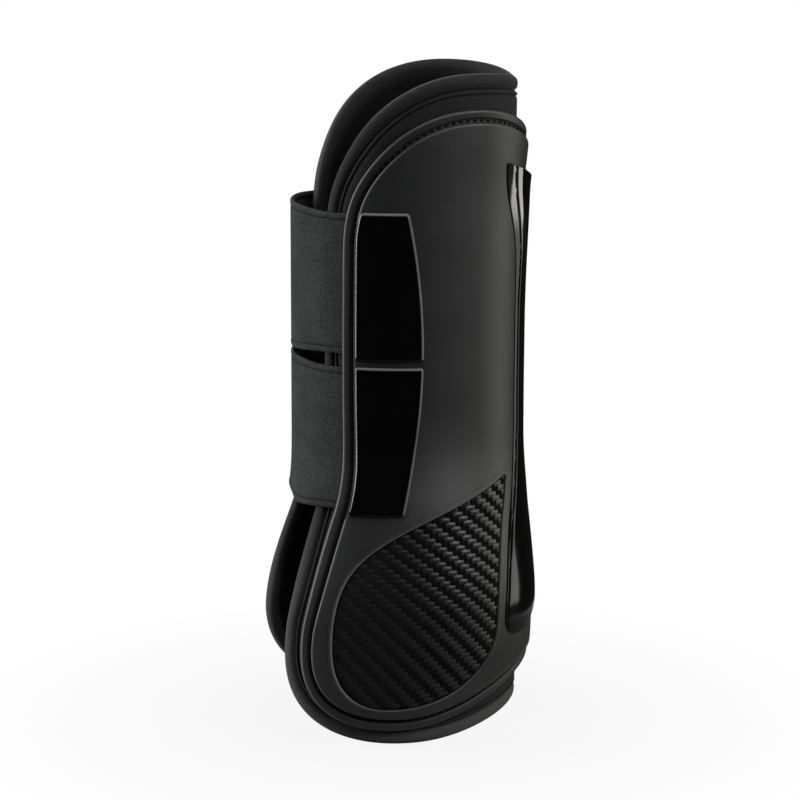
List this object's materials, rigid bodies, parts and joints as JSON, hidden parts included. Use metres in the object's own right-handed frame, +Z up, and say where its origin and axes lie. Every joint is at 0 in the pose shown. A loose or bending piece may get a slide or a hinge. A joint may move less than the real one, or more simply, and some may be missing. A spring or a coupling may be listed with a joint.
{
  "type": "tendon boot",
  "caption": "Open-front horse tendon boot: moulded shell over a padded liner, with a tendon guard, strike pads and elastic hook-and-loop straps.",
  "frame": {"origin": "on the leg's axis through the boot, level with the boot's lowest edge", "axes": "+Z up the leg, +X towards the tendons at the back, -X towards the open front, -Y towards the medial side"},
  "size_m": [0.0974, 0.0884, 0.2396],
  "materials": {
    "shell": "satin moulded thermoplastic, near black",
    "gloss": "polished black plastic",
    "twill": "black plastic with a moulded twill relief",
    "neoprene": "black neoprene with a knit face",
    "binding": "soft padded edge roll",
    "foam": "closed-cell foam sheet",
    "elastic": "woven elastic webbing, dark grey",
    "hook_and_loop": "hook-and-loop tape"
  },
  "bodies": {
    "boot": {"outer_shell": "shell", "foam_insert": "foam", "neoprene_liner": "neoprene", "edge_binding": "binding", "tendon_guard": "gloss", "medial_strike_pad": "twill", "lateral_strike_pad": "twill", "upper_side_panel": "gloss", "lower_side_panel": "gloss", "upper_loop_patch": "hook_and_loop", "lower_loop_patch": "hook_and_loop", "upper_strap_root": "elastic", "lower_strap_root": "elastic"},
    "upper_strap": {"upper_strap": "elastic"},
    "upper_tab": {"upper_strap_tab": "gloss", "upper_hook_patch": "hook_and_loop"},
    "lower_strap": {"lower_strap": "elastic"},
    "lower_tab": {"lower_strap_tab": "gloss", "lower_hook_patch": "hook_and_loop"}
  },
  "joints": [
    {"name": "upper_strap_swing", "type": "hinge", "parent": "boot", "child": "upper_strap", "pos_m": [-0.02389, -0.02303, 0.166], "axis": [0, 0, 1], "range_deg": [0, 110]},
    {"name": "upper_tab_peel", "type": "hinge", "parent": "upper_strap", "child": "upper_tab", "pos_m": [-0.01023, 0.0365, 0.166], "axis": [0.0355, -0.0028, 0.9994], "range_deg": [0, 60]},
    {"name": "lower_strap_swing", "type": "hinge", "parent": "boot", "child": "lower_strap", "pos_m": [-0.02727, -0.02764, 0.111], "axis": [0, 0, 1], "range_deg": [0, 110]},
    {"name": "lower_tab_peel", "type": "hinge", "parent": "lower_strap", "child": "lower_tab", "pos_m": [-0.01267, 0.03873, 0.111], "axis": [0.0617, -0.083, 0.9946], "range_deg": [0, 60]}
  ]
}
